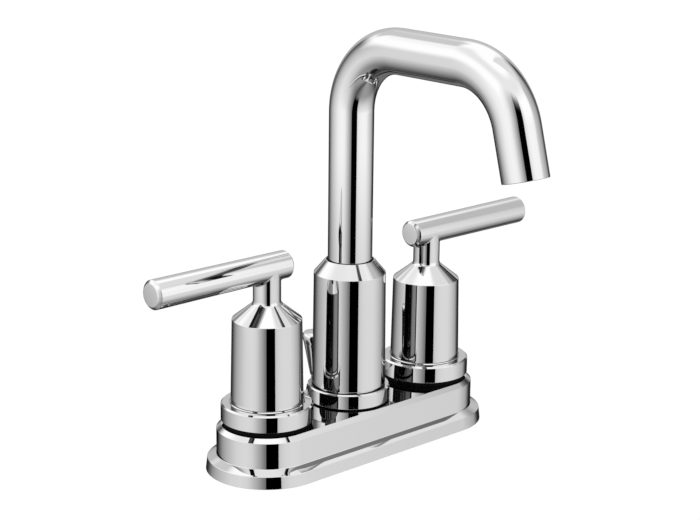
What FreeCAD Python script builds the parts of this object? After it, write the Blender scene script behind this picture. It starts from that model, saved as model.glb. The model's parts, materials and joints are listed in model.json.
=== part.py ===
import FreeCAD, Part
import math
import os

# Two-handle deck faucet on one oblong plate, with a bent swivel spout and a lift rod behind it.
# Millimetres. The origin is on the deck under the spout's axis. +X runs to the cold handle,
# the spout reaches out towards -Y, and +Z is up.

V = FreeCAD.Vector
UP = V(0, 0, 1)
ALONG = V(1, 0, 0)

# Fits shared by all pieces
RUN = 0.05            # radial gap of a shaft or seal that turns or slides in its hole
FIT = 0.05            # radial gap of pieces that are screwed or pushed together
LIFT_OFF = 0.1        # axial gap beside a face that turns

# Plate: round ends on the handle axes, joined by straight sides
HANDLE_SPACING = 101.6
PLATE_FOOT_R = 27.96
PLATE_LIP_R = 27.29
PLATE_LIP_H = 5.65
PLATE_SLOPE_H = 2.03
PLATE_WALL_R = 23.1
PLATE_BEVEL_H = 1.83
PLATE_TOP_R = 21.0
PLATE_H = 21.5
PLATE_SKIN = 2.2
PLATE_RIM = 1.6
PLATE_RIB = 1.8
PLATE_RIB_H = 6.0
PLATE_RIB_GAP = 1.0
GASKET_H = 2.0
GASKET_STEP = 1.2
GASKET_WIDTH = 8.0
GASKET_NOTCH_GAP = 0.5

# Valve body: one casting with two barrels, a spout post and the waterway between them
BODY_LIFT = 1.0
INLET_R = 9.32
INLET_DEPTH = 9.0
INLET_CHAMFER = 0.8
BARREL_FOOT_R = 13.0
BARREL_R = 11.2
BARREL_ABOVE_COLLAR = 6.1
INLET_PASSAGE_R = 5.0
INLET_WEB = 2.0
CHAMBER_R = 9.8
CHAMBER_H = 11.0
CHAMBER_NARROWING = 1.0
CARTRIDGE_BORE_R = 8.9
WATERWAY_R = 2.8
WATERWAY_WALL = 1.4
WATERWAY_RISE = 0.2
WATERWAY_SUMP = 1.0
POST_FOOT_R = 14.5
POST_FOOT_H = 10.3
POST_R = 11.8
POST_ABOVE_COLLAR = 14.9
POST_PASSAGE_R = 6.0

# Cartridge: seat seal, two ceramic discs, housing, stem and the nut that holds them
SEAT_SEAL_H = 1.4
SEAT_SEAL_R = 8.6
DISC_H = 2.0
DISC_R = 7.6
DISC_PORT_R = 1.8
DISC_PORT_AT = 4.3
SKIRT_WALL = 1.05
WINDOW_W = 6.0
WINDOW_ABOVE_DISC = 0.6
DRIVE_R = 7.4
DRIVE_H = 2.4
DRIVE_LUG_W = 3.0
DRIVE_LUG_H = 0.8
DRIVE_LUG_DEPTH = 1.8
STEM_R = 4.45
STEM_GROOVE_DEPTH = 0.9
STEM_GROOVE_H = 1.9
CARTRIDGE_FLANGE_R = 10.8
CARTRIDGE_FLANGE_H = 2.4
CARTRIDGE_NECK_R = 6.6
CARTRIDGE_NECK_H = 9.6
NUT_ACROSS_FLATS = 25.0
NUT_GAP = 1.1
NUT_LIP_H = 2.8
SPLINE_TIP_R = 3.9
SPLINE_ROOT_R = 3.4
SPLINE_TEETH = 16
SPLINE_H = 13.0

# Handle: hollow hub, cone, neck and lever bar in one casting
COLLAR_SEAL_R = 19.65
COLLAR_SEAL_H = 2.48
COLLAR_R = 21.06
COLLAR_H = 7.92
COLLAR_BEVEL = 0.75
COLLAR_LAND_EDGE = 0.25
COLLAR_GROOVE_H = 4.5
COLLAR_GROOVE_WALL = 2.6
HUB_GAP = 0.5
HUB_FOOT_R = 16.55
HUB_TOP_R = 15.84
HUB_H = 38.6
HUB_WALL = 1.5
HUB_ROOF = 5.0
CONE_H = 7.5
NECK_R = 6.32
NECK_H = 15.8
NECK_FOOT_ROUND = 2.5
NECK_TOP_ROUND = 1.5
BOSS_R = 8.0
BOSS_H = 12.5
BAR_INNER_R = 6.38
BAR_OUTER_R = 6.6
BAR_INNER_REACH = 11.6
BAR_OUTER_REACH = 64.9
BAR_BEVEL = 1.3
SET_SCREW_R = 2.0
SET_SCREW_LENGTH = 6.0
SET_SCREW_KEY = 2.0
SET_SCREW_KEY_DEPTH = 2.5
SET_SCREW_DROP = 5.5
STEM_FLAT_DEPTH = 0.7
STEM_FLAT_MARGIN = 0.5

# Spout base: gasket, collar and the tapered sleeve round the spout's foot
SPOUT_SEAL_R = 18.7
SPOUT_SEAL_H = 0.68
SPOUT_COLLAR_R = 19.33
SPOUT_COLLAR_H = 6.92
SPOUT_COLLAR_BEVEL = 0.55
SPOUT_COLLAR_STEP_R = 16.3
SPOUT_COLLAR_STEP_H = 0.4
SPOUT_COLLAR_RING_H = 5.0
SPOUT_COLLAR_RING_WALL = 1.6
SLEEVE_FOOT_R = 17.17
SLEEVE_TOP_R = 16.74
SLEEVE_H = 53.7
SLEEVE_WALL = 1.4
SLEEVE_CONE_H = 6.3
SLEEVE_MOUTH_LAND = 0.48
SLEEVE_ROOF = 2.6
BEARING_WALL = 0.6
BEARING_H = 8.0
BEARING_RECESS = 0.8

# Spout: brass tube bent in one plane, with a spigot at its foot and an aerator at its end
TUBE_R = 10.3
TUBE_WALL = 1.2
RISER_TOP_Z = 158.7
BEND_R = 31.0
TOP_RUN = 38.7
OUTLET_TURN = 75.0
OUTLET_RUN = 22.6
SPIGOT_R = 8.0
SPIGOT_DEPTH = 20.0
SPIGOT_FOOT_GAP = 1.0
SPIGOT_BORE_R = 6.2
SPIGOT_PLUG_H = 9.0
SPIGOT_FLANGE_R = 11.4
SPIGOT_FLANGE_H = 2.6
THRUST_WASHER_H = 0.6
O_RING_H = 2.2
O_RING_DEPTH = 1.3
O_RING_GROOVE_GAP = 0.1
O_RING_AT = (5.0, 12.0)
SPOUT_NUT_ACROSS_FLATS = 26.0
SPOUT_NUT_SKIRT = 7.0
SPOUT_NUT_LIP_H = 2.2
TUBE_CLEARANCE = 0.2
AERATOR_RECESS = 0.8
AERATOR_H = 8.0
AERATOR_WALL = 1.6
AERATOR_LIP = 1.0
AERATOR_SCREEN_H = 1.2
AERATOR_CIRCLES = 2
AERATOR_EDGE = 2.2
AERATOR_HOLE_WEB = 0.9
AERATOR_WASHER_H = 1.5
AERATOR_WASHER_WIDTH = 3.0

# Lift rod behind the spout, with its guide bush in a boss of the plate
LIFT_Y = 24.0
LIFT_ROD_R = 1.6
LIFT_ROD_FOOT_Z = 1.0
LIFT_BOSS_R = 3.9
LIFT_BOSS_DROP = 1.0
LIFT_BOSS_FOOT_Z = 5.0
LIFT_GUIDE_WALL = 0.8
LIFT_GUIDE_RIM_H = 1.0
LIFT_GUIDE_RIM_R = 3.6
LIFT_PASSAGE_GAP = 0.4
KNOB_FOOT_Z = 27.0
KNOB_FOOT_R = 2.0
KNOB_R = 6.0
KNOB_WIDE_Z = 43.0
KNOB_TOP_Z = 48.4
KNOB_TOP_ROUND = 2.0
KNOB_SOCKET_H = 13.0

# Heights that follow from the sizes above
HANDLE_X = HANDLE_SPACING / 2
PLATE_INNER_TOP = PLATE_H - PLATE_SKIN
COLLAR_Z = PLATE_H + COLLAR_SEAL_H
COLLAR_TOP = COLLAR_Z + COLLAR_H
HUB_Z = COLLAR_TOP + HUB_GAP
HUB_TOP = HUB_Z + HUB_H
CONE_TOP = HUB_TOP + CONE_H
BAR_Z = CONE_TOP + NECK_H
BARREL_TOP = COLLAR_TOP + BARREL_ABOVE_COLLAR
CHAMBER_Z = BODY_LIFT + INLET_DEPTH + INLET_WEB
WATERWAY_Z = CHAMBER_Z + WATERWAY_RISE + WATERWAY_R
DISC_Z = CHAMBER_Z + SEAT_SEAL_H
MOVING_DISC_Z = DISC_Z + DISC_H + RUN
DRIVE_Z = MOVING_DISC_Z + DISC_H
HOUSING_FLOOR = DRIVE_Z + DRIVE_H + LIFT_OFF
SPLINE_Z = HUB_TOP - HUB_ROOF - BOSS_H
SET_SCREW_Z = HUB_TOP - HUB_ROOF - SET_SCREW_DROP
SPOUT_COLLAR_Z = PLATE_H + SPOUT_SEAL_H
SPOUT_COLLAR_TOP = SPOUT_COLLAR_Z + SPOUT_COLLAR_H
SLEEVE_Z = SPOUT_COLLAR_TOP + SPOUT_COLLAR_STEP_H
SLEEVE_CONE_Z = SLEEVE_Z + SLEEVE_H
SLEEVE_MOUTH_Z = SLEEVE_CONE_Z + SLEEVE_CONE_H
SLEEVE_INNER_R = SLEEVE_FOOT_R - SLEEVE_WALL
BEARING_R = TUBE_R + RUN + BEARING_WALL
SLEEVE_MOUTH_R = BEARING_R + FIT + SLEEVE_MOUTH_LAND
POST_TOP = SPOUT_COLLAR_TOP + POST_ABOVE_COLLAR
FLANGE_Z = POST_TOP + THRUST_WASHER_H + RUN
TUBE_FOOT_Z = FLANGE_Z + SPIGOT_FLANGE_H
OUTLET_TILT = 90.0 - OUTLET_TURN
LIFT_GUIDE_R = LIFT_ROD_R + RUN + LIFT_GUIDE_WALL


def outline(corners):
    """Closed wire in the XZ plane through corners (r, z); a third value rounds that corner."""
    spots = [V(corner[0], 0, corner[1]) for corner in corners]
    pieces = []
    for i, corner in enumerate(corners):
        here = spots[i]
        back = (spots[i - 1] - here).normalize()
        ahead = (spots[(i + 1) % len(spots)] - here).normalize()
        radius = corner[2] if len(corner) > 2 else 0
        if not radius:
            pieces.append((here, here, None))
            continue
        half = back.getAngle(ahead) / 2
        start = here + back * (radius / math.tan(half))
        end = here + ahead * (radius / math.tan(half))
        middle = here + (back + ahead).normalize() * (radius / math.sin(half) - radius)
        pieces.append((start, end, Part.Arc(start, middle, end).toShape()))
    edges = []
    for i, (start, end, arc) in enumerate(pieces):
        if arc:
            edges.append(arc)
        following = pieces[(i + 1) % len(pieces)][0]
        if end.distanceToPoint(following) > 1e-6:
            edges.append(Part.makeLine(end, following))
    return Part.Wire(Part.__sortEdges__(edges))


def turned(corners, x=0, y=0):
    """Solid of revolution about the vertical axis through (x, y)."""
    solid = Part.Face(outline(corners)).revolve(V(0, 0, 0), UP, 360)
    solid.translate(V(x, y, 0))
    return solid


def ring(inner, outer, bottom, top, x=0, y=0):
    return turned([(inner, bottom), (outer, bottom), (outer, top), (inner, top)], x, y)


def rod(radius, bottom, top, x=0, y=0):
    return Part.makeCylinder(radius, top - bottom, V(x, y, bottom))


def hexagon(across_flats, bottom, top, x=0, y=0):
    corner_r = across_flats / 2 / math.cos(math.radians(30))
    spots = [V(x + corner_r * math.cos(math.radians(60 * i)),
               y + corner_r * math.sin(math.radians(60 * i)), bottom) for i in range(7)]
    return Part.Face(Part.makePolygon(spots)).extrude(V(0, 0, top - bottom))


def oblong(corners):
    """Profile (r, z) carried round the plate: half turns at both handle axes, straight between."""
    face = Part.Face(outline(corners))
    pieces = []
    for side in (1, -1):
        end = face.copy()
        end.rotate(V(0, 0, 0), UP, -90 * side)
        end = end.revolve(V(0, 0, 0), UP, 180)
        end.translate(V(side * HANDLE_X, 0, 0))
        pieces.append(end)
        middle = face.copy()
        middle.rotate(V(0, 0, 0), UP, 90 * side)
        middle.translate(V(-HANDLE_X, 0, 0))
        pieces.append(middle.extrude(V(HANDLE_SPACING, 0, 0)))
    return pieces[0].fuse(pieces[1:]).removeSplitter()


def base_plate():
    wall_z = PLATE_LIP_H + PLATE_SLOPE_H
    outside = oblong([(0, 0), (PLATE_FOOT_R, 0), (PLATE_LIP_R, PLATE_LIP_H),
                      (PLATE_WALL_R, wall_z), (PLATE_WALL_R, PLATE_H - PLATE_BEVEL_H),
                      (PLATE_TOP_R, PLATE_H), (0, PLATE_H)])
    rim_r = PLATE_FOOT_R - PLATE_RIM
    step_r = rim_r - GASKET_STEP
    inner_r = PLATE_WALL_R - PLATE_SKIN
    slope_drop = PLATE_SKIN / 2
    inside = oblong([(0, 0), (rim_r, 0), (rim_r, GASKET_H), (step_r, GASKET_H),
                     (step_r, PLATE_LIP_H - slope_drop), (inner_r, wall_z - slope_drop),
                     (inner_r, PLATE_INNER_TOP), (0, PLATE_INNER_TOP)])
    ribs = []
    notch = WATERWAY_R + WATERWAY_WALL + PLATE_RIB_GAP
    for x in (-HANDLE_X / 2, HANDLE_X / 2):
        rib = Part.makeBox(PLATE_RIB, 2 * inner_r, PLATE_RIB_H)
        rib.translate(V(x - PLATE_RIB / 2, -inner_r, PLATE_INNER_TOP - PLATE_RIB_H))
        passage = Part.makeBox(PLATE_RIB, 2 * notch, PLATE_RIB_H)
        passage.translate(V(x - PLATE_RIB / 2, -notch, PLATE_INNER_TOP - PLATE_RIB_H))
        ribs.append(rib.cut(passage))
    shell = outside.cut(inside)
    boss = rod(LIFT_BOSS_R, LIFT_BOSS_FOOT_Z, PLATE_H - LIFT_BOSS_DROP, 0, LIFT_Y)
    shell = shell.fuse(ribs + [boss]).removeSplitter()
    holes = [rod(BARREL_R + FIT, 0, PLATE_H, side * HANDLE_X) for side in (-1, 1)]
    holes.append(rod(POST_R + FIT, 0, PLATE_H))
    rim_z = PLATE_H - LIFT_BOSS_DROP
    holes.append(rod(LIFT_ROD_R + LIFT_PASSAGE_GAP, 0, PLATE_H, 0, LIFT_Y))
    holes.append(rod(LIFT_GUIDE_R + FIT, LIFT_BOSS_FOOT_Z, rim_z, 0, LIFT_Y))
    holes.append(rod(LIFT_GUIDE_RIM_R + FIT, rim_z, PLATE_H, 0, LIFT_Y))
    return shell.cut(holes)


def deck_gasket():
    outer = PLATE_FOOT_R - PLATE_RIM - FIT
    inner = outer - GASKET_WIDTH
    sheet = oblong([(inner, 0), (outer, 0), (outer, GASKET_H), (inner, GASKET_H)])
    return sheet.cut(rod(LIFT_ROD_R + GASKET_NOTCH_GAP, 0, GASKET_H, 0, LIFT_Y))


def valve_body():
    pieces = []
    bores = []
    waterway = Part.makeCylinder(WATERWAY_R + WATERWAY_WALL, HANDLE_SPACING,
                                 V(-HANDLE_X, 0, WATERWAY_Z), ALONG)
    channel = Part.makeCylinder(WATERWAY_R, HANDLE_SPACING, V(-HANDLE_X, 0, WATERWAY_Z), ALONG)
    for x in (-HANDLE_X, HANDLE_X):
        pieces.append(turned([(0, BODY_LIFT), (BARREL_FOOT_R, BODY_LIFT),
                              (BARREL_FOOT_R, PLATE_INNER_TOP), (BARREL_R, PLATE_INNER_TOP),
                              (BARREL_R, BARREL_TOP), (0, BARREL_TOP)], x))
        inlet_top = BODY_LIFT + INLET_DEPTH
        bores.append(turned([(0, BODY_LIFT), (INLET_R + INLET_CHAMFER, BODY_LIFT),
                             (INLET_R, BODY_LIFT + INLET_CHAMFER), (INLET_R, inlet_top),
                             (INLET_PASSAGE_R, inlet_top), (INLET_PASSAGE_R, CHAMBER_Z),
                             (CHAMBER_R, CHAMBER_Z), (CHAMBER_R, CHAMBER_Z + CHAMBER_H),
                             (CARTRIDGE_BORE_R, CHAMBER_Z + CHAMBER_H + CHAMBER_NARROWING),
                             (CARTRIDGE_BORE_R, BARREL_TOP), (0, BARREL_TOP)], x))
    pieces.append(turned([(0, PLATE_INNER_TOP - POST_FOOT_H),
                          (POST_FOOT_R, PLATE_INNER_TOP - POST_FOOT_H),
                          (POST_FOOT_R, PLATE_INNER_TOP), (POST_R, PLATE_INNER_TOP),
                          (POST_R, POST_TOP), (0, POST_TOP)]))
    socket_floor = POST_TOP - SPIGOT_DEPTH - SPIGOT_FOOT_GAP
    sump_z = WATERWAY_Z - WATERWAY_R - WATERWAY_SUMP
    bores.append(turned([(0, sump_z), (POST_PASSAGE_R, sump_z), (POST_PASSAGE_R, socket_floor),
                         (SPIGOT_R + RUN, socket_floor),
                         (SPIGOT_R + RUN, POST_TOP), (0, POST_TOP)]))
    solid = waterway.fuse(pieces).removeSplitter()
    solid = solid.cut(channel)
    return solid.cut(bores)


def collar_seal(x):
    return ring(BARREL_R + FIT, COLLAR_SEAL_R, PLATE_H, COLLAR_Z, x)


def handle_collar(x):
    """Collar with a low bevelled land on top, just under the hub's foot."""
    land_z = HUB_Z - LIFT_OFF
    land_r = HUB_FOOT_R + COLLAR_LAND_EDGE
    outside = turned([(BARREL_R + FIT, COLLAR_Z), (COLLAR_R, COLLAR_Z),
                      (COLLAR_R, COLLAR_TOP - COLLAR_BEVEL), (COLLAR_R - COLLAR_BEVEL, COLLAR_TOP),
                      (land_r + land_z - COLLAR_TOP, COLLAR_TOP), (land_r, land_z),
                      (BARREL_R + FIT, land_z)], x)
    groove = ring(BARREL_R + FIT + COLLAR_GROOVE_WALL, COLLAR_SEAL_R - COLLAR_GROOVE_WALL,
                  COLLAR_Z, COLLAR_Z + COLLAR_GROOVE_H, x)
    return outside.cut(groove)


def seat_seal(x):
    return ring(INLET_PASSAGE_R, SEAT_SEAL_R, CHAMBER_Z, CHAMBER_Z + SEAT_SEAL_H, x)


def disc(x, bottom, port_direction):
    """Lapped ceramic disc with two round ports; port_direction is the unit vector to one port."""
    solid = rod(DISC_R, bottom, bottom + DISC_H, x)
    for side in (-1, 1):
        port = port_direction * (side * DISC_PORT_AT)
        solid = solid.cut(rod(DISC_PORT_R, bottom, bottom + DISC_H, x + port.x, port.y))
    return solid


def drive_lugs(x, clearance):
    """Two lugs under the stem's disc that turn the moving disc through slots in its top."""
    width = DRIVE_LUG_W + 2 * clearance
    bottom = DRIVE_Z - DRIVE_LUG_H
    bar = Part.makeBox(width, 2 * DISC_R, DRIVE_LUG_H)
    bar.translate(V(x - width / 2, -DISC_R, bottom))
    return bar.common(ring(DRIVE_R - DRIVE_LUG_DEPTH - clearance, DRIVE_R + clearance,
                           bottom, DRIVE_Z, x))


def fixed_disc(x):
    return disc(x, DISC_Z, V(0, 1, 0))


def moving_disc(x):
    return disc(x, MOVING_DISC_Z, V(1, 0, 0)).cut(drive_lugs(x, FIT))


def cartridge_housing(x):
    outer = CARTRIDGE_BORE_R - FIT
    skirt_r = outer - SKIRT_WALL
    foot = CHAMBER_Z + SEAT_SEAL_H + LIFT_OFF
    flange_top = BARREL_TOP + CARTRIDGE_FLANGE_H
    neck_top = flange_top + CARTRIDGE_NECK_H
    solid = turned([(skirt_r, foot), (outer, foot), (outer, BARREL_TOP),
                    (CARTRIDGE_FLANGE_R, BARREL_TOP), (CARTRIDGE_FLANGE_R, flange_top),
                    (CARTRIDGE_NECK_R, flange_top), (CARTRIDGE_NECK_R, neck_top),
                    (STEM_R + RUN, neck_top), (STEM_R + RUN, HOUSING_FLOOR),
                    (skirt_r, HOUSING_FLOOR)], x)
    window_z = DISC_Z + DISC_H + WINDOW_ABOVE_DISC
    window = Part.makeBox(WINDOW_W, 4 * outer, HOUSING_FLOOR - window_z)
    window.translate(V(x - WINDOW_W / 2, -2 * outer, window_z))
    return solid.cut(window)


def cartridge_nut(x):
    bottom = COLLAR_TOP + NUT_GAP
    flange_top = BARREL_TOP + CARTRIDGE_FLANGE_H
    solid = hexagon(NUT_ACROSS_FLATS, bottom, flange_top + NUT_LIP_H, x)
    bore = turned([(0, bottom), (BARREL_R + FIT, bottom), (BARREL_R + FIT, flange_top),
                   (CARTRIDGE_NECK_R + FIT, flange_top),
                   (CARTRIDGE_NECK_R + FIT, flange_top + NUT_LIP_H), (0, flange_top + NUT_LIP_H)], x)
    return solid.cut(bore)


def spline(x, clearance, top):
    """Toothed end of the stem, or with a clearance the socket that takes it."""
    spots = []
    for i in range(2 * SPLINE_TEETH + 1):
        radius = (SPLINE_TIP_R if i % 2 else SPLINE_ROOT_R) + clearance
        angle = math.pi * i / SPLINE_TEETH
        spots.append(V(x + radius * math.cos(angle), radius * math.sin(angle), SPLINE_Z))
    return Part.Face(Part.makePolygon(spots)).extrude(V(0, 0, top - SPLINE_Z))


def stem_groove_z():
    return (HOUSING_FLOOR + BARREL_TOP) / 2


def stem(x):
    groove_z = stem_groove_z()
    groove_r = STEM_R - STEM_GROOVE_DEPTH
    shaft = turned([(0, DRIVE_Z), (DRIVE_R, DRIVE_Z), (DRIVE_R, DRIVE_Z + DRIVE_H),
                    (STEM_R, DRIVE_Z + DRIVE_H), (STEM_R, groove_z), (groove_r, groove_z),
                    (groove_r, groove_z + STEM_GROOVE_H), (STEM_R, groove_z + STEM_GROOVE_H),
                    (STEM_R, SPLINE_Z), (0, SPLINE_Z)], x)
    solid = shaft.fuse([drive_lugs(x, 0), spline(x, 0, SPLINE_Z + SPLINE_H)]).removeSplitter()
    half = SET_SCREW_R + STEM_FLAT_MARGIN
    flat = Part.makeBox(2 * SPLINE_TIP_R, STEM_R, 2 * half)
    flat.translate(V(x - SPLINE_TIP_R, SPLINE_TIP_R - STEM_FLAT_DEPTH, SET_SCREW_Z - half))
    return solid.cut(flat)


def stem_seal(x):
    groove_z = stem_groove_z()
    return ring(STEM_R - STEM_GROOVE_DEPTH, STEM_R, groove_z, groove_z + STEM_GROOVE_H, x)


def handle(x, side):
    hub_inner = HUB_FOOT_R - HUB_WALL
    roof_inner = HUB_TOP_R - HUB_WALL
    roof_z = HUB_TOP - HUB_ROOF
    hub = turned([(0, HUB_Z), (HUB_FOOT_R, HUB_Z), (HUB_TOP_R, HUB_TOP),
                  (NECK_R, CONE_TOP, NECK_FOOT_ROUND), (NECK_R, BAR_Z), (0, BAR_Z)], x)
    bar = turned([(0, -BAR_INNER_REACH), (BAR_INNER_R - BAR_BEVEL, -BAR_INNER_REACH),
                  (BAR_INNER_R, BAR_BEVEL - BAR_INNER_REACH),
                  (BAR_OUTER_R, BAR_OUTER_REACH - BAR_BEVEL),
                  (BAR_OUTER_R - BAR_BEVEL, BAR_OUTER_REACH), (0, BAR_OUTER_REACH)])
    bar.rotate(V(0, 0, 0), V(0, 1, 0), 90 * side)
    bar.translate(V(x, 0, BAR_Z))
    solid = hub.fuse(bar).removeSplitter()
    joint = [edge for edge in solid.Edges if edge.BoundBox.ZMin > BAR_Z - BAR_OUTER_R - RUN
             and edge.BoundBox.ZMax < BAR_Z and edge.BoundBox.XMin > x - NECK_R - RUN
             and edge.BoundBox.XMax < x + NECK_R + RUN]
    solid = solid.makeFillet(NECK_TOP_ROUND, joint)
    cavity = turned([(0, HUB_Z), (hub_inner, HUB_Z), (roof_inner, roof_z), (BOSS_R, roof_z),
                     (BOSS_R, roof_z - BOSS_H), (0, roof_z - BOSS_H)], x)
    socket = spline(x, FIT, SPLINE_Z + SPLINE_H)
    screw_hole = Part.makeCylinder(SET_SCREW_R + FIT, HUB_FOOT_R, V(x, 0, SET_SCREW_Z), V(0, 1, 0))
    return solid.cut([cavity, socket, screw_hole])


def set_screw(x):
    start = SPLINE_TIP_R - STEM_FLAT_DEPTH
    screw = Part.makeCylinder(SET_SCREW_R, SET_SCREW_LENGTH, V(x, start, SET_SCREW_Z), V(0, 1, 0))
    key = hexagon(SET_SCREW_KEY, 0, SET_SCREW_KEY_DEPTH)
    key.rotate(V(0, 0, 0), ALONG, 90)
    key.translate(V(x, start + SET_SCREW_LENGTH, SET_SCREW_Z))
    return screw.cut(key)


def spout_seal():
    return ring(POST_R + FIT, SPOUT_SEAL_R, PLATE_H, SPOUT_COLLAR_Z)


def spout_collar():
    thread_r = POST_R + FIT
    ring_r = SLEEVE_INNER_R - FIT
    ring_top = SLEEVE_Z + SPOUT_COLLAR_RING_H
    return turned([(thread_r, SPOUT_COLLAR_Z), (SPOUT_COLLAR_R, SPOUT_COLLAR_Z),
                   (SPOUT_COLLAR_R, SPOUT_COLLAR_TOP - SPOUT_COLLAR_BEVEL),
                   (SPOUT_COLLAR_R - SPOUT_COLLAR_BEVEL, SPOUT_COLLAR_TOP),
                   (SPOUT_COLLAR_STEP_R, SPOUT_COLLAR_TOP), (SPOUT_COLLAR_STEP_R, SLEEVE_Z),
                   (ring_r, SLEEVE_Z), (ring_r, ring_top),
                   (ring_r - SPOUT_COLLAR_RING_WALL, ring_top),
                   (ring_r - SPOUT_COLLAR_RING_WALL, SLEEVE_Z), (thread_r, SLEEVE_Z)])


def spout_base():
    roof_z = SLEEVE_CONE_Z - SLEEVE_ROOF
    return turned([(SLEEVE_INNER_R, SLEEVE_Z), (SLEEVE_FOOT_R, SLEEVE_Z),
                   (SLEEVE_TOP_R, SLEEVE_CONE_Z), (SLEEVE_MOUTH_R, SLEEVE_MOUTH_Z),
                   (BEARING_R + FIT, SLEEVE_MOUTH_Z), (BEARING_R + FIT, roof_z),
                   (SLEEVE_INNER_R, roof_z)])


def spout_bearing():
    top = SLEEVE_MOUTH_Z - BEARING_RECESS
    return ring(TUBE_R + RUN, BEARING_R, top - BEARING_H, top)


def thrust_washer():
    return ring(SPIGOT_R + RUN, SPIGOT_FLANGE_R, POST_TOP, POST_TOP + THRUST_WASHER_H)


def spout_nut():
    bottom = POST_TOP - SPOUT_NUT_SKIRT
    lip_z = TUBE_FOOT_Z + LIFT_OFF
    top = lip_z + SPOUT_NUT_LIP_H
    bore = turned([(0, bottom), (POST_R + FIT, bottom), (POST_R + FIT, lip_z),
                   (TUBE_R + TUBE_CLEARANCE, lip_z), (TUBE_R + TUBE_CLEARANCE, top), (0, top)])
    return hexagon(SPOUT_NUT_ACROSS_FLATS, bottom, top).cut(bore)


def spout_spigot():
    foot = POST_TOP - SPIGOT_DEPTH
    groove_r = SPIGOT_R - O_RING_DEPTH
    plug_r = TUBE_R - TUBE_WALL - FIT
    solid = turned([(SPIGOT_BORE_R, foot), (SPIGOT_R, foot), (SPIGOT_R, FLANGE_Z),
                    (SPIGOT_FLANGE_R, FLANGE_Z), (SPIGOT_FLANGE_R, TUBE_FOOT_Z),
                    (plug_r, TUBE_FOOT_Z), (plug_r, TUBE_FOOT_Z + SPIGOT_PLUG_H),
                    (SPIGOT_BORE_R, TUBE_FOOT_Z + SPIGOT_PLUG_H)])
    for at in O_RING_AT:
        bottom = foot + at - O_RING_GROOVE_GAP
        solid = solid.cut(ring(groove_r, SPIGOT_R, bottom, bottom + O_RING_H + 2 * O_RING_GROOVE_GAP))
    return solid


def o_ring(at):
    """Seal ring with the square section that it takes up when squeezed in its groove."""
    bottom = POST_TOP - SPIGOT_DEPTH + at
    return ring(SPIGOT_R - O_RING_DEPTH, SPIGOT_R, bottom, bottom + O_RING_H)


def spout_frame():
    """End of the top run and of the outlet leg, and the leg's direction."""
    turn = math.radians(OUTLET_TURN)
    run_end = V(0, -BEND_R - TOP_RUN, RISER_TOP_Z + BEND_R)
    down = V(0, -math.cos(turn), -math.sin(turn))
    bend_end = run_end + V(0, -BEND_R * math.sin(turn), BEND_R * (math.cos(turn) - 1))
    return run_end, bend_end + down * OUTLET_RUN, down


def spout_tube():
    """One ring section carried up the riser, round both bends and down the outlet leg."""
    run_end, outlet, down = spout_frame()
    outside, bore = [Part.Face(Part.Wire(Part.makeCircle(radius)))
                     for radius in (TUBE_R, TUBE_R - TUBE_WALL)]
    section = outside.cut(bore).Faces[0]
    foot = section.translated(V(0, 0, TUBE_FOOT_Z))
    riser_end = section.translated(V(0, 0, RISER_TOP_Z))
    first_centre = V(0, -BEND_R, RISER_TOP_Z)
    run_start = riser_end.copy()
    run_start.rotate(first_centre, ALONG, 90)
    second_start = run_start.translated(V(0, -TOP_RUN, 0))
    second_centre = run_end - V(0, 0, BEND_R)
    leg_start = second_start.copy()
    leg_start.rotate(second_centre, ALONG, OUTLET_TURN)
    pieces = [foot.extrude(V(0, 0, RISER_TOP_Z - TUBE_FOOT_Z)),
              riser_end.revolve(first_centre, ALONG, 90),
              run_start.extrude(V(0, -TOP_RUN, 0)),
              second_start.revolve(second_centre, ALONG, OUTLET_TURN),
              leg_start.extrude(down * OUTLET_RUN)]
    return pieces[0].fuse(pieces[1:])


def at_outlet(solid):
    """Moves a piece modelled upright on the origin to the open end of the spout."""
    solid.rotate(V(0, 0, 0), ALONG, -OUTLET_TILT)
    solid.translate(spout_frame()[1])
    return solid


def aerator_housing():
    outer = TUBE_R - TUBE_WALL - FIT
    inner = outer - AERATOR_WALL
    bottom = AERATOR_RECESS
    step = bottom + AERATOR_SCREEN_H
    lip_r = inner - AERATOR_LIP
    return at_outlet(turned([(lip_r, bottom), (outer, bottom), (outer, bottom + AERATOR_H),
                             (inner, bottom + AERATOR_H), (inner, step), (lip_r, step)]))


def aerator_screen():
    outer = TUBE_R - TUBE_WALL - FIT - AERATOR_WALL - FIT
    bottom = AERATOR_RECESS + AERATOR_SCREEN_H
    pitch = (outer - AERATOR_EDGE) / AERATOR_CIRCLES
    hole_w = pitch - AERATOR_HOLE_WEB
    holes = []
    for circle in range(AERATOR_CIRCLES + 1):
        count = max(1, 6 * circle)
        for i in range(count):
            angle = 2 * math.pi * i / count
            reach = circle * pitch
            holes.append(hexagon(hole_w, bottom, bottom + AERATOR_SCREEN_H,
                                 reach * math.cos(angle), reach * math.sin(angle)))
    return at_outlet(rod(outer, bottom, bottom + AERATOR_SCREEN_H).cut(holes))


def aerator_washer():
    outer = TUBE_R - TUBE_WALL - FIT
    bottom = AERATOR_RECESS + AERATOR_H
    return at_outlet(ring(outer - AERATOR_WASHER_WIDTH, outer, bottom, bottom + AERATOR_WASHER_H))


def lift_rod():
    return rod(LIFT_ROD_R, LIFT_ROD_FOOT_Z, KNOB_FOOT_Z + KNOB_SOCKET_H, 0, LIFT_Y)


def lift_knob():
    socket_r = LIFT_ROD_R + FIT
    socket_top = KNOB_FOOT_Z + KNOB_SOCKET_H
    return turned([(socket_r, KNOB_FOOT_Z), (KNOB_FOOT_R, KNOB_FOOT_Z),
                   (KNOB_R, KNOB_WIDE_Z), (KNOB_R, KNOB_TOP_Z, KNOB_TOP_ROUND),
                   (0, KNOB_TOP_Z), (0, socket_top), (socket_r, socket_top)], 0, LIFT_Y)


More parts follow.
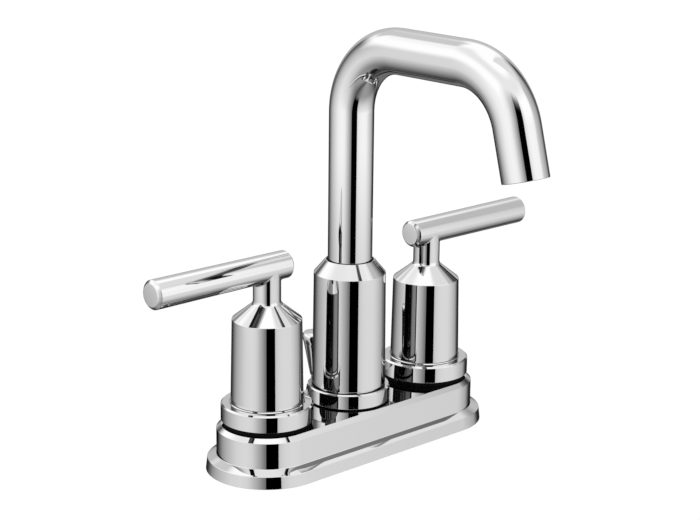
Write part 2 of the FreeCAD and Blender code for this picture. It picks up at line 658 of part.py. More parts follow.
def lift_guide():
    inner = LIFT_ROD_R + RUN
    rim_z = PLATE_H - LIFT_BOSS_DROP
    return turned([(inner, LIFT_BOSS_FOOT_Z), (LIFT_GUIDE_R, LIFT_BOSS_FOOT_Z), (LIFT_GUIDE_R, rim_z),
                   (LIFT_GUIDE_RIM_R, rim_z), (LIFT_GUIDE_RIM_R, rim_z + LIFT_GUIDE_RIM_H),
                   (inner, rim_z + LIFT_GUIDE_RIM_H)], 0, LIFT_Y)


def valve_side(name, side):
    """The pieces round one handle axis, which are the same on the hot and the cold side."""
    x = side * HANDLE_X
    return {
        name + "_handle": handle(x, side),
        name + "_set_screw": set_screw(x),
        name + "_stem": stem(x),
        name + "_stem_seal": stem_seal(x),
        name + "_moving_disc": moving_disc(x),
        name + "_fixed_disc": fixed_disc(x),
        name + "_seat_seal": seat_seal(x),
        name + "_cartridge_housing": cartridge_housing(x),
        name + "_cartridge_nut": cartridge_nut(x),
        name + "_collar": handle_collar(x),
        name + "_collar_seal": collar_seal(x),
    }


def all_parts():
    parts = {
        "base_plate": base_plate(),
        "deck_gasket": deck_gasket(),
        "valve_body": valve_body(),
        "spout_seal": spout_seal(),
        "spout_collar": spout_collar(),
        "spout_base": spout_base(),
        "spout_bearing": spout_bearing(),
        "thrust_washer": thrust_washer(),
        "spout_nut": spout_nut(),
        "spout_spigot": spout_spigot(),
        "spigot_o_ring_lower": o_ring(O_RING_AT[0]),
        "spigot_o_ring_upper": o_ring(O_RING_AT[1]),
        "spout_tube": spout_tube(),
        "aerator_housing": aerator_housing(),
        "aerator_screen": aerator_screen(),
        "aerator_washer": aerator_washer(),
        "lift_rod": lift_rod(),
        "lift_knob": lift_knob(),
        "lift_guide": lift_guide(),
    }
    parts.update(valve_side("hot", -1))
    parts.update(valve_side("cold", 1))
    return parts


os.makedirs("parts", exist_ok=True)
for node, shape in all_parts().items():
    shape.exportStep("parts/" + node + ".step")
    print(node, len(shape.Solids), shape.isValid(), round(shape.Volume, 1))
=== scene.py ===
import json
import math

import bmesh
import bpy
from mathutils import Matrix, Vector

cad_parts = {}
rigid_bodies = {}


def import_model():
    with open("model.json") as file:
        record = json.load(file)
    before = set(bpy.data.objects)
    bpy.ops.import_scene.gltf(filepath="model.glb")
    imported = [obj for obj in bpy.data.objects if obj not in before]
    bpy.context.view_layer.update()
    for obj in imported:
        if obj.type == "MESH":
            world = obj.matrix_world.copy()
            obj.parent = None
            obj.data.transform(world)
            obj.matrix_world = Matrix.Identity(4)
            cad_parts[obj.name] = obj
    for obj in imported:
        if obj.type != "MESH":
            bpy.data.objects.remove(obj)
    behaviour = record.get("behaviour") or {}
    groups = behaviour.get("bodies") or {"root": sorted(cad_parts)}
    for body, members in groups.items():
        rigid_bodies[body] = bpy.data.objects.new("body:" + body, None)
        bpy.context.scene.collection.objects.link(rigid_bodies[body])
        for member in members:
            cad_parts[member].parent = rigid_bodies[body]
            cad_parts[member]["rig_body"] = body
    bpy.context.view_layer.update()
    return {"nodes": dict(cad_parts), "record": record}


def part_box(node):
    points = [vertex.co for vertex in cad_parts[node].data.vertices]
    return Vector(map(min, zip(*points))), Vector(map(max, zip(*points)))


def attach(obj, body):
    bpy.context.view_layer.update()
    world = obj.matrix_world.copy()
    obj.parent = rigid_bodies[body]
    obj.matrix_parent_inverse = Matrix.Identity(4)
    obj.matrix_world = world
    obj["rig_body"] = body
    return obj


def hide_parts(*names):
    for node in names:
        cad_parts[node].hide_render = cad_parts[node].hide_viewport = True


# Dresses the two-handle faucet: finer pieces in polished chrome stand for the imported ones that
# show, in a white studio. Sizes are in millimetres unless a comment says metres, and are turned
# into metres when a mesh is made.

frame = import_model()

MM = 0.001
SEGMENTS = 224               # faces round a full turn
ARC_STEP = math.radians(13)  # between two points on a rounded edge
ARC_LEAST = 3                # fewest steps on a rounded edge
MERGE = 1e-7                 # metres between points that are joined
SHARP = math.radians(40)     # edges with a larger turn stay sharp in the shading

# Sizes that several pieces share
FINE = 0.15                  # radius of a fine edge
SOFT = 0.35                  # radius of a softened edge
FIT = 0.05                   # gap round a piece that sits in a hole
PAST = 1.0                   # how far a cutting piece goes past what it cuts


def reach(node):
    """Centre x and y, half the x extent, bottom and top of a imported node, in millimetres."""
    low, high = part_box(node)
    return ((low.x + high.x) / 2 / MM, (low.y + high.y) / 2 / MM, (high.x - low.x) / 2 / MM,
            low.z / MM, high.z / MM)


def rounded(corners):
    """Points (r, z) along a profile; a third value in a corner rounds it with an arc."""
    points = []
    for i, corner in enumerate(corners):
        here = Vector(corner[:2])
        if len(corner) < 3:
            points.append(here)
            continue
        back = (Vector(corners[i - 1][:2]) - here).normalized()
        ahead = (Vector(corners[(i + 1) % len(corners)][:2]) - here).normalized()
        half = back.angle(ahead) / 2
        centre = here + (back + ahead).normalized() * (corner[2] / math.sin(half))
        start = here + back * (corner[2] / math.tan(half)) - centre
        end = here + ahead * (corner[2] / math.tan(half)) - centre
        turn = math.pi - 2 * half
        steps = max(ARC_LEAST, math.ceil(turn / ARC_STEP))
        for k in range(steps + 1):
            share = k / steps
            points.append(centre + (start * math.sin((1 - share) * turn)
                                    + end * math.sin(share * turn)) / math.sin(turn))
    return points


def skin(name, rings, closed):
    """Mesh piece through rings of points; closed also joins the last ring to the first."""
    bm = bmesh.new()
    rows = [[bm.verts.new(Vector(point) * MM) for point in ring] for ring in rings]
    following = rows[1:] + rows[:1] if closed else rows[1:]
    for row, after in zip(rows, following):
        for k in range(len(row)):
            ahead = (k + 1) % len(row)
            bm.faces.new((row[k], row[ahead], after[ahead], after[k]))
    bmesh.ops.remove_doubles(bm, verts=bm.verts, dist=MERGE)
    bmesh.ops.recalc_face_normals(bm, faces=bm.faces)
    mesh = bpy.data.meshes.new(name)
    bm.to_mesh(mesh)
    bm.free()
    piece = bpy.data.objects.new(name, mesh)
    bpy.context.scene.collection.objects.link(piece)
    return piece


def turned(name, corners, x=0, y=0):
    """Piece turned about the vertical axis through (x, y), from a profile of (r, z) corners."""
    rings = []
    for r, z in rounded(corners):
        rings.append([(x + r * math.cos(angle), y + r * math.sin(angle), z)
                      for angle in (2 * math.pi * k / SEGMENTS for k in range(SEGMENTS))])
    return skin(name, rings, corners[0][0] > 0)


def oblong(name, corners, half_length):
    """Profile of (r, z) corners carried round an oblong with half turns at both ends."""
    steps = SEGMENTS // 2
    stations = [(half_length, -math.pi / 2 + math.pi * k / steps) for k in range(steps + 1)]
    stations += [(-half_length, math.pi / 2 + math.pi * k / steps) for k in range(steps + 1)]
    rings = []
    for r, z in rounded(corners):
        rings.append([(x + r * math.cos(angle), r * math.sin(angle), z) for x, angle in stations])
    return skin(name, rings, corners[0][0] > 0)


def prism(name, spots, bottom, top):
    """Upright solid over an outline of (x, y) spots."""
    piece = skin(name, [[(x, y, z) for x, y in spots] for z in (bottom, top)], False)
    bm = bmesh.new()
    bm.from_mesh(piece.data)
    bmesh.ops.holes_fill(bm, edges=bm.edges)
    bmesh.ops.recalc_face_normals(bm, faces=bm.faces)
    bm.to_mesh(piece.data)
    bm.free()
    return piece


def block(name, low, high):
    """Box between two opposite corners."""
    spots = [(low[0], low[1]), (high[0], low[1]), (high[0], high[1]), (low[0], high[1])]
    return prism(name, spots, low[2], high[2])


def rod(name, radius, bottom, top, x=0, y=0):
    """Upright round bar."""
    return turned(name, [(0, bottom), (radius, bottom), (radius, top), (0, top)], x, y)


def combine(piece, operation, others):
    """Adds the others to a piece, or cuts them out of it, and removes them."""
    for other in others:
        modifier = piece.modifiers.new(operation, "BOOLEAN")
        modifier.operation = operation
        modifier.solver = "MANIFOLD"
        modifier.object = other
    bpy.context.view_layer.update()
    result = piece.evaluated_get(bpy.context.evaluated_depsgraph_get())
    mesh = bpy.data.meshes.new_from_object(result)
    piece.modifiers.clear()
    piece.data = mesh
    for other in others:
        bpy.data.objects.remove(other)
    return piece


def dress(piece, node, slot):
    """Shades a piece, puts it on the node's body and lets it stand for the node."""
    piece.data.shade_smooth()
    piece.data.set_sharp_from_angle(angle=SHARP)
    weighted = piece.modifiers.new("weighted", "WEIGHTED_NORMAL")
    weighted.keep_sharp = True
    piece.data.materials.clear()
    piece.data.materials.append(MATERIALS[slot])
    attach(piece, frame["nodes"][node]["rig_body"])
    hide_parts(node)
    return piece


# Materials


class Graph:
    """Short calls for the nodes of one material or world."""

    def __init__(self, tree):
        self.tree = tree
        tree.nodes.clear()

    def node(self, kind, **settings):
        made = self.tree.nodes.new(kind)
        for name, value in settings.items():
            setattr(made, name, value)
        return made

    def link(self, source, target):
        self.tree.links.new(source, target)

    def put(self, value, socket):
        if isinstance(value, bpy.types.NodeSocket):
            self.link(value, socket)
        else:
            socket.default_value = value

    def math(self, operation, first, second=0.0):
        made = self.node("ShaderNodeMath", operation=operation)
        self.put(first, made.inputs[0])
        self.put(second, made.inputs[1])
        return made.outputs[0]

    def times(self, first, *others):
        """Product of all the values."""
        for other in others:
            first = self.math("MULTIPLY", first, other)
        return first

    def minus(self, first, second):
        return self.math("SUBTRACT", first, second)

    def degrees(self, operation, *values):
        """Angle from an inverse function, in degrees."""
        return self.times(self.math(operation, *values), 180 / math.pi)

    def dot(self, first, second):
        made = self.node("ShaderNodeVectorMath", operation="DOT_PRODUCT")
        self.put(first, made.inputs[0])
        self.put(second, made.inputs[1])
        return made.outputs["Value"]

    def fade(self, value, start, end, low=0.0, high=1.0):
        """Goes smoothly from low to high while value goes from start to end."""
        made = self.node("ShaderNodeMapRange", interpolation_type="SMOOTHSTEP")
        self.put(value, made.inputs["Value"])
        settings = {"From Min": start, "From Max": end, "To Min": low, "To Max": high}
        for name, setting in settings.items():
            self.put(setting, made.inputs[name])
        return made.outputs["Result"]

    def between(self, value, start, full, leave, end):
        """One while value is from full to leave, none before start and after end."""
        return self.times(self.fade(value, start, full), self.fade(value, leave, end, 1.0, 0.0))

    def mix(self, share, first, second):
        made = self.node("ShaderNodeMix", data_type="FLOAT")
        self.put(share, made.inputs[0])
        self.put(first, made.inputs[2])
        self.put(second, made.inputs[3])
        return made.outputs[0]

    def steps(self, value, stops, low, high):
        """Grey levels at stops (position, level), read for a value between low and high."""
        spread = self.node("ShaderNodeMapRange")
        self.put(value, spread.inputs["Value"])
        self.put(low, spread.inputs["From Min"])
        self.put(high, spread.inputs["From Max"])
        ramp = self.node("ShaderNodeValToRGB")
        elements = ramp.color_ramp.elements
        while len(elements) < len(stops):
            elements.new(1.0)
        for element, (position, level) in zip(elements, stops):
            element.position = (position - low) / (high - low)
            element.color = (level, level, level, 1)
        self.link(spread.outputs["Result"], ramp.inputs["Fac"])
        return ramp.outputs["Color"]

    def noise(self, scale, detail):
        place = self.node("ShaderNodeTexCoord")
        made = self.node("ShaderNodeTexNoise")
        made.inputs["Scale"].default_value = scale
        made.inputs["Detail"].default_value = detail
        self.link(place.outputs["Object"], made.inputs["Vector"])
        return made.outputs["Fac"]


GRAIN_DETAIL = 2.0           # layers in the noise for gloss and height
TONE_DETAIL = 4.0            # and in the noise for tone
TONE_COARSE = 3              # how much coarser the tone's noise is than the grain


def finish_of(name, color, metallic, rough, bump, grain, specular=0.5, tone=0.0):
    """Material whose gloss, height and tone vary a little with noise; rough is (least, most)."""
    material = bpy.data.materials.new(name)
    material.use_nodes = True
    graph = Graph(material.node_tree)
    shader = graph.node("ShaderNodeBsdfPrincipled")
    out = graph.node("ShaderNodeOutputMaterial")
    graph.link(shader.outputs["BSDF"], out.inputs["Surface"])
    shader.inputs["Base Color"].default_value = (*color, 1)
    shader.inputs["Metallic"].default_value = metallic
    shader.inputs["Specular IOR Level"].default_value = specular
    field = graph.noise(grain, GRAIN_DETAIL)
    spread = graph.node("ShaderNodeMapRange")
    graph.link(field, spread.inputs["Value"])
    spread.inputs["To Min"].default_value = rough[0]
    spread.inputs["To Max"].default_value = rough[1]
    graph.link(spread.outputs["Result"], shader.inputs["Roughness"])
    if tone:
        blend = graph.node("ShaderNodeMix", data_type="RGBA")
        graph.link(graph.noise(grain / TONE_COARSE, TONE_DETAIL), blend.inputs[0])
        blend.inputs[6].default_value = (*[c * (1 - tone) for c in color], 1)
        blend.inputs[7].default_value = (*[min(1.0, c * (1 + tone)) for c in color], 1)
        graph.link(blend.outputs[2], shader.inputs["Base Color"])
    height = graph.node("ShaderNodeBump")
    height.inputs["Strength"].default_value = bump
    height.inputs["Distance"].default_value = MM
    graph.link(field, height.inputs["Height"])
    graph.link(height.outputs["Normal"], shader.inputs["Normal"])
    return material


MATERIALS = {
    "chrome_plate": finish_of("polished_chrome", (0.9, 0.9, 0.905), metallic=1.0,
                              rough=(0.018, 0.042), bump=0.004, grain=90.0),
    "cast_brass": finish_of("cast_brass", (0.66, 0.47, 0.2), metallic=1.0,
                            rough=(0.24, 0.44), bump=0.25, grain=900.0, tone=0.12),
    "steel": finish_of("screw_steel", (0.5, 0.5, 0.51), metallic=1.0,
                       rough=(0.22, 0.38), bump=0.1, grain=1500.0, tone=0.08),
    "black_rubber": finish_of("black_rubber", (0.004, 0.004, 0.004), metallic=0.0,
                              rough=(0.42, 0.58), bump=0.2, grain=1800.0, specular=0.05),
    "black_plastic": finish_of("black_plastic", (0.006, 0.006, 0.0065), metallic=0.0,
                               rough=(0.25, 0.35), bump=0.05, grain=1200.0, specular=0.2),
    "pale_plastic": finish_of("pale_plastic", (0.72, 0.73, 0.74), metallic=0.0,
                              rough=(0.34, 0.46), bump=0.1, grain=1200.0, tone=0.04),
    "ceramic": finish_of("lapped_ceramic", (0.86, 0.85, 0.81), metallic=0.0,
                         rough=(0.1, 0.2), bump=0.03, grain=1500.0, tone=0.03),
}

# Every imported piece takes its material; those that nothing stands for are shown as they are
for row in frame["record"]["subparts"]:
    packed = frame["nodes"][row["node"]]
    packed.data.materials.clear()
    packed.data.materials.append(MATERIALS[row["material_slot"]])

# Plate

_, _, PLATE_HALF, _, PLATE_TOP = reach("base_plate")
HALF_SPACING, _, COLLAR_R, COLLAR_LOW, LAND_TOP = reach("cold_collar")
_, KNOB_Y, KNOB_R, KNOB_LOW, KNOB_TOP = reach("lift_knob")
FOOT_R = PLATE_HALF - HALF_SPACING
LIP_DRAFT = 0.67             # how much narrower the lip is at its top
LIP_R = FOOT_R - LIP_DRAFT
LIP_Z = 5.65
WALL_Z = 7.68                # where the slope over the lip meets the wall
WALL_R = 23.1
BEVEL_H = 1.83
BEVEL_Z = PLATE_TOP - BEVEL_H
BEVEL_R = 21.0
PLATE_THICK = 2.2
RIM = 1.6
GASKET_STEP = 1.2
GASKET_Z = 2.0
BARREL_HOLE_R = 11.25
POST_HOLE_R = 11.85
GUIDE_R = 2.5                # hole for the lift rod's bush
GUIDE_RIM_R = 3.65
GUIDE_RIM_H = 1.0
BOSS_R = 3.9                 # boss round that hole
BOSS_LOW = 5.0
BOSS_TOP = PLATE_TOP - GUIDE_RIM_H
RIB = 1.8
RIB_H = 6.0
RIB_NOTCH = 5.2              # half the way left free for the waterway


def plate_shell():
    """Hollow plate with its lip, slope, wall and bevel, its ribs and all its holes."""
    inner_r = WALL_R - PLATE_THICK
    roof_z = PLATE_TOP - PLATE_THICK
    rim_r = FOOT_R - RIM
    shell = oblong("plate_shell", [
        (0, roof_z), (inner_r, roof_z), (inner_r, WALL_Z - PLATE_THICK / 2),
        (rim_r - GASKET_STEP, LIP_Z - PLATE_THICK / 2), (rim_r - GASKET_STEP, GASKET_Z),
        (rim_r, GASKET_Z), (rim_r, 0), (FOOT_R, 0, FINE), (LIP_R, LIP_Z, SOFT),
        (WALL_R, WALL_Z, SOFT), (WALL_R, BEVEL_Z, FINE), (BEVEL_R, PLATE_TOP, FINE),
        (0, PLATE_TOP)], HALF_SPACING)
    boss = rod("boss", BOSS_R, BOSS_LOW, BOSS_TOP, 0, KNOB_Y)
    combine(shell, "UNION", [boss] + plate_ribs())
    holes = [rod("hole", BARREL_HOLE_R, -PAST, PLATE_TOP + PAST, side * HALF_SPACING)
             for side in (-1, 1)]
    holes.append(rod("hole", POST_HOLE_R, -PAST, PLATE_TOP + PAST))
    holes.append(rod("hole", GUIDE_R, BOSS_LOW - PAST, BOSS_TOP + PAST, 0, KNOB_Y))
    holes.append(rod("hole", GUIDE_RIM_R, BOSS_TOP, PLATE_TOP + PAST, 0, KNOB_Y))
    return combine(shell, "DIFFERENCE", holes)


def plate_ribs():
    """Cross ribs under the plate's roof, each cut through in the middle for the waterway."""
    roof = PLATE_TOP - PLATE_THICK
    pieces = []
    for x in (-HALF_SPACING / 2, HALF_SPACING / 2):
        for side in (-1, 1):
            near, far = sorted((side * RIB_NOTCH, side * (WALL_R - PLATE_THICK)))
            pieces.append(block("rib", (x - RIB / 2, near, roof - RIB_H), (x + RIB / 2, far, roof)))
    return pieces


dress(plate_shell(), "base_plate", "chrome_plate")

# Handles

HUB_LOW = reach("cold_handle")[3]
HUB_FOOT_R = 16.55
HUB_TOP_R = 15.84
HUB_H = 38.6
HUB_TOP = HUB_LOW + HUB_H
HUB_WALL = 1.5
HUB_ROOF = 5.0
ROOF_Z = HUB_TOP - HUB_ROOF
CONE_H = 7.5
CONE_TOP = HUB_TOP + CONE_H
NECK_R = 6.32
NECK_H = 15.8
NECK_FOOT_ROUND = 2.5
NECK_TOP_ROUND = 1.5
BAR_Z = CONE_TOP + NECK_H
BAR_INNER_R = 6.38
BAR_OUTER_R = 6.6
BAR_INNER_REACH = 11.6       # from the hub's axis to the bar's ends
BAR_OUTER_REACH = 64.9
BAR_FACE_R = 5.1
BAR_FACE_ROUND = 1.0
BAR_BEVEL = 1.3
BAR_EDGE_ROUND = 0.4
FILLET_STEPS = 10
FILLET_SINK = 0.02           # how far the rounding between neck and bar lies in both
FILLET_CORE = 1.0            # depth of its hidden edge in both
SOCKET_H = 12.5              # boss under the roof, with the toothed hole
SOCKET_BOSS_R = 8.0
SOCKET_LOW = ROOF_Z - SOCKET_H
SOCKET_TIP_R = 3.95
SOCKET_ROOT_R = 3.45
SOCKET_TEETH = 16
SOCKET_DEPTH = 13.0
SOCKET_TOP = SOCKET_LOW + SOCKET_DEPTH
SCREW_HOLE_R = 2.05
SCREW_DROP = 5.5
SCREW_Z = ROOF_Z - SCREW_DROP
COLLAR_BEVEL = 0.75
COLLAR_GROOVE_H = 4.5
COLLAR_GROOVE_WALL = 2.6
LAND_H = 0.4                 # raised ring on the collar, round the hub's foot
LAND_MARGIN = 0.25
LAND_R = HUB_FOOT_R + LAND_MARGIN


def toothed_socket():
    """Toothed hole in the hub's boss, as a solid that is cut out."""
    spots = []
    for i in range(2 * SOCKET_TEETH):
        r = SOCKET_TIP_R if i % 2 else SOCKET_ROOT_R
        angle = math.pi * i / SOCKET_TEETH
        spots.append((r * math.cos(angle), r * math.sin(angle)))
    return prism("socket", spots, SOCKET_LOW - PAST, SOCKET_TOP)


def bar_radius(x):
    """The bar's radius at a distance x outwards from the hub's axis."""
    share = (x + BAR_INNER_REACH - BAR_BEVEL) / (BAR_INNER_REACH + BAR_OUTER_REACH - 2 * BAR_BEVEL)
    return BAR_INNER_R + (BAR_OUTER_R - BAR_INNER_R) * share


def neck_fillet():
    """Concave rounding between the neck and the underside of the bar, as a ring to be added."""
    rows = [[] for _ in range(FILLET_STEPS + 2)]
    for k in range(SEGMENTS):
        angle = 2 * math.pi * (k + 0.5) / SEGMENTS
        out = Vector((math.cos(angle), math.sin(angle), 0))
        centre = out * (NECK_R + NECK_TOP_ROUND)
        centre.z = -math.sqrt((bar_radius(centre.x) + NECK_TOP_ROUND) ** 2 - centre.y ** 2)
        to_bar = Vector((0, -centre.y, -centre.z)).normalized()
        for step in range(FILLET_STEPS + 1):
            direction = (-out).slerp(to_bar, step / FILLET_STEPS)
            rows[step].append(centre + direction * (NECK_TOP_ROUND + FILLET_SINK))
        rows[-1].append(out * (NECK_R - FILLET_CORE) + Vector((0, 0, centre.z + FILLET_CORE)))
    lift = Vector((0, 0, BAR_Z))
    return skin("fillet", [[point + lift for point in row] for row in rows], True)


def lever(name, side):
    """Hub, cone, neck and bar in one casting; the bar runs outwards, to the given side."""
    hub = turned(name, [
        (0, SOCKET_LOW), (SOCKET_BOSS_R, SOCKET_LOW), (SOCKET_BOSS_R, ROOF_Z),
        (HUB_TOP_R - HUB_WALL, ROOF_Z), (HUB_FOOT_R - HUB_WALL, HUB_LOW),
        (HUB_FOOT_R, HUB_LOW, FINE), (HUB_TOP_R, HUB_TOP, SOFT),
        (NECK_R, CONE_TOP, NECK_FOOT_ROUND), (NECK_R, BAR_Z), (0, BAR_Z)])
    bar = turned("bar", [
        (0, -BAR_INNER_REACH), (BAR_FACE_R, -BAR_INNER_REACH, BAR_FACE_ROUND),
        (BAR_INNER_R, BAR_BEVEL - BAR_INNER_REACH, BAR_EDGE_ROUND),
        (BAR_OUTER_R, BAR_OUTER_REACH - BAR_BEVEL, BAR_EDGE_ROUND),
        (BAR_FACE_R, BAR_OUTER_REACH, BAR_FACE_ROUND), (0, BAR_OUTER_REACH)])
    bar.data.transform(Matrix.Translation(Vector((0, 0, BAR_Z)) * MM)
                       @ Matrix.Rotation(math.pi / 2, 4, "Y"))
    combine(hub, "UNION", [bar])
    combine(hub, "UNION", [neck_fillet()])
    hole = rod("hole", SCREW_HOLE_R, 0, HUB_FOOT_R + PAST)
    hole.data.transform(Matrix.Translation(Vector((0, 0, SCREW_Z)) * MM)
                        @ Matrix.Rotation(-math.pi / 2, 4, "X"))
    combine(hub, "DIFFERENCE", [hole, toothed_socket()])
    hub.data.transform(Matrix.Translation(Vector((side * HALF_SPACING, 0, 0)) * MM)
                       @ Matrix.Diagonal((side, 1, 1, 1)))
    if side < 0:
        hub.data.flip_normals()
    return hub


def side_pieces(side_name, side):
    """Lever, collar and seal on one handle axis."""
    x = side * HALF_SPACING
    dress(lever(side_name + "_lever", side), side_name + "_handle", "chrome_plate")
    bore = BARREL_HOLE_R
    seal_r = reach(side_name + "_collar_seal")[2]
    groove_top = COLLAR_LOW + COLLAR_GROOVE_H
    shoulder = LAND_TOP - LAND_H
    collar = turned(side_name + "_collar_ring", [
        (bore, COLLAR_LOW), (bore + COLLAR_GROOVE_WALL, COLLAR_LOW),
        (bore + COLLAR_GROOVE_WALL, groove_top), (seal_r - COLLAR_GROOVE_WALL, groove_top),
        (seal_r - COLLAR_GROOVE_WALL, COLLAR_LOW), (COLLAR_R, COLLAR_LOW, FINE),
        (COLLAR_R, shoulder - COLLAR_BEVEL, FINE), (COLLAR_R - COLLAR_BEVEL, shoulder, FINE),
        (LAND_R + LAND_H, shoulder, FINE), (LAND_R, LAND_TOP, FINE), (bore, LAND_TOP)], x)
    dress(collar, side_name + "_collar", "chrome_plate")
    seal = turned(side_name + "_seal_ring", [
        (bore, PLATE_TOP), (seal_r, PLATE_TOP, SOFT), (seal_r, COLLAR_LOW, SOFT),
        (bore, COLLAR_LOW)], x)
    dress(seal, side_name + "_collar_seal", "black_rubber")


side_pieces("hot", -1)
side_pieces("cold", 1)

# Spout base

_, _, SPOUT_SEAL_R, SPOUT_SEAL_LOW, SPOUT_SEAL_TOP = reach("spout_seal")
_, _, SPOUT_COLLAR_R, SPOUT_COLLAR_LOW, _ = reach("spout_collar")
_, _, SLEEVE_FOOT_R, SLEEVE_LOW, SLEEVE_TOP = reach("spout_base")
_, _, BEARING_R, BEARING_LOW, BEARING_TOP = reach("spout_bearing")
SPOUT_STEP_R = 16.3          # low step on which the sleeve stands
SPOUT_STEP_H = 0.4
SPOUT_COLLAR_TOP = SLEEVE_LOW - SPOUT_STEP_H
SPOUT_COLLAR_BEVEL = 0.55
SPOUT_RING_H = 5.0           # ring on the collar that centres the sleeve
SPOUT_RING_WALL = 1.6
SLEEVE_WALL = 1.4
SLEEVE_TOP_R = 16.74
SLEEVE_MOUTH_R = 11.48
SLEEVE_CONE_H = 6.3
SLEEVE_CONE_Z = SLEEVE_TOP - SLEEVE_CONE_H
SLEEVE_ROOF = 2.6
TUBE_R = 10.3
TUBE_WALL = 1.2


def spout_foot():
    """Seal, collar, sleeve and entry ring round the spout's foot."""
    seal = turned("spout_seal_ring", [
        (POST_HOLE_R, SPOUT_SEAL_LOW), (SPOUT_SEAL_R, SPOUT_SEAL_LOW, FINE),
        (SPOUT_SEAL_R, SPOUT_SEAL_TOP, FINE), (POST_HOLE_R, SPOUT_SEAL_TOP)])
    dress(seal, "spout_seal", "black_rubber")
    inner_r = SLEEVE_FOOT_R - SLEEVE_WALL
    ring_r = inner_r - FIT
    ring_inner_r = ring_r - SPOUT_RING_WALL
    ring_top = SLEEVE_LOW + SPOUT_RING_H
    collar = turned("spout_collar_ring", [
        (POST_HOLE_R, SPOUT_COLLAR_LOW), (SPOUT_COLLAR_R, SPOUT_COLLAR_LOW, FINE),
        (SPOUT_COLLAR_R, SPOUT_COLLAR_TOP - SPOUT_COLLAR_BEVEL, FINE),
        (SPOUT_COLLAR_R - SPOUT_COLLAR_BEVEL, SPOUT_COLLAR_TOP, FINE),
        (SPOUT_STEP_R, SPOUT_COLLAR_TOP), (SPOUT_STEP_R, SLEEVE_LOW), (ring_r, SLEEVE_LOW),
        (ring_r, ring_top), (ring_inner_r, ring_top), (ring_inner_r, SLEEVE_LOW),
        (POST_HOLE_R, SLEEVE_LOW)])
    dress(collar, "spout_collar", "chrome_plate")
    roof_z = SLEEVE_CONE_Z - SLEEVE_ROOF
    sleeve = turned("spout_sleeve", [
        (inner_r, SLEEVE_LOW), (SLEEVE_FOOT_R, SLEEVE_LOW, SOFT),
        (SLEEVE_TOP_R, SLEEVE_CONE_Z, FINE), (SLEEVE_MOUTH_R, SLEEVE_TOP, FINE),
        (BEARING_R + FIT, SLEEVE_TOP, FINE), (BEARING_R + FIT, roof_z), (inner_r, roof_z)])
    dress(sleeve, "spout_base", "chrome_plate")
    bearing = turned("spout_entry_ring", [
        (TUBE_R + FIT, BEARING_LOW), (BEARING_R, BEARING_LOW), (BEARING_R, BEARING_TOP, FINE),
        (TUBE_R + FIT, BEARING_TOP, FINE)])
    dress(bearing, "spout_bearing", "black_plastic")


spout_foot()

# Spout tube

TUBE_FOOT_Z = reach("spout_tube")[3]
RISER_TOP_Z = 158.7
BEND_R = 31.0
TOP_RUN = 38.7
OUTLET_TURN = math.radians(75.0)
OUTLET_RUN = 22.6
BEND_STEP = math.radians(1.5)
MOUTH_ROUND = 0.3


def spout_stations():
    """Points (centre, lean) of the tube's sections; lean is the turn from straight up."""
    stations = [((0.0, TUBE_FOOT_Z), 0.0), ((0.0, RISER_TOP_Z), 0.0)]

    def bend(turn, centre_y, centre_z, start):
        count = math.ceil(turn / BEND_STEP)
        for k in range(1, count + 1):
            lean = start + turn * k / count
            centre = (centre_y + BEND_R * math.cos(lean), centre_z + BEND_R * math.sin(lean))
            stations.append((centre, lean))

    bend(math.pi / 2, -BEND_R, RISER_TOP_Z, 0.0)
    stations.append(((-BEND_R - TOP_RUN, RISER_TOP_Z + BEND_R), math.pi / 2))
    bend(OUTLET_TURN, -BEND_R - TOP_RUN, RISER_TOP_Z, math.pi / 2)
    (y, z), lean = stations[-1]
    end = (y - math.sin(lean) * OUTLET_RUN, z + math.cos(lean) * OUTLET_RUN)
    stations.append((end, lean))
    return stations


def section(station, radius, back=0.0):
    """Ring of points round one station of the spout's line, set back along the line."""
    (y, z), lean = station
    along = Vector((0, -math.sin(lean), math.cos(lean)))
    side = Vector((1, 0, 0))
    out = along.cross(side)
    centre = Vector((0, y, z)) - along * back
    return [centre + (side * math.cos(angle) + out * math.sin(angle)) * radius
            for angle in (2 * math.pi * k / SEGMENTS for k in range(SEGMENTS))]


def spout():
    """Bent tube with an open, rounded mouth."""
    stations = spout_stations()
    end = stations[-1]
    rings = [section(station, TUBE_R) for station in stations[:-1]]
    inner_r = TUBE_R - TUBE_WALL
    lip = rounded([(TUBE_R, OUTLET_RUN), (TUBE_R, 0, MOUTH_ROUND), (inner_r, 0, MOUTH_ROUND),
                   (inner_r, OUTLET_RUN)])[1:-1]
    rings += [section(end, radius, back) for radius, back in lip]
    rings += [section(station, inner_r) for station in reversed(stations[:-1])]
    tube = skin("spout_pipe", rings, True)
    dress(tube, "spout_tube", "chrome_plate")


spout()

# Lift rod's knob

KNOB_FOOT_R = 2.0
KNOB_FOOT_ROUND = 0.1
KNOB_WIDE_Z = 43.0
KNOB_WIDE_ROUND = 0.5
KNOB_LEAN = 0.9              # how much narrower the wide band is at its foot
KNOB_TOP_ROUND = 2.0
KNOB_CROWN = ((0.3, 1.0), (1.0, 0.3))    # how far in and how far down, along that rounding
KNOB_SOCKET_R = 1.65
KNOB_SOCKET_H = 13.0

socket_top = KNOB_LOW + KNOB_SOCKET_H
crown = [(KNOB_R - inwards, KNOB_TOP - down) for inwards, down in KNOB_CROWN]
knob = turned("knob_fine", [
    (KNOB_SOCKET_R, KNOB_LOW), (KNOB_FOOT_R, KNOB_LOW, KNOB_FOOT_ROUND),
    (KNOB_R - KNOB_LEAN, KNOB_WIDE_Z, KNOB_WIDE_ROUND), (KNOB_R, KNOB_TOP - KNOB_TOP_ROUND),
    *crown, (KNOB_R - KNOB_TOP_ROUND, KNOB_TOP), (0, KNOB_TOP), (0, socket_top),
    (KNOB_SOCKET_R, socket_top)], 0, KNOB_Y)
dress(knob, "lift_knob", "chrome_plate")

# Camera, fitted to the photograph

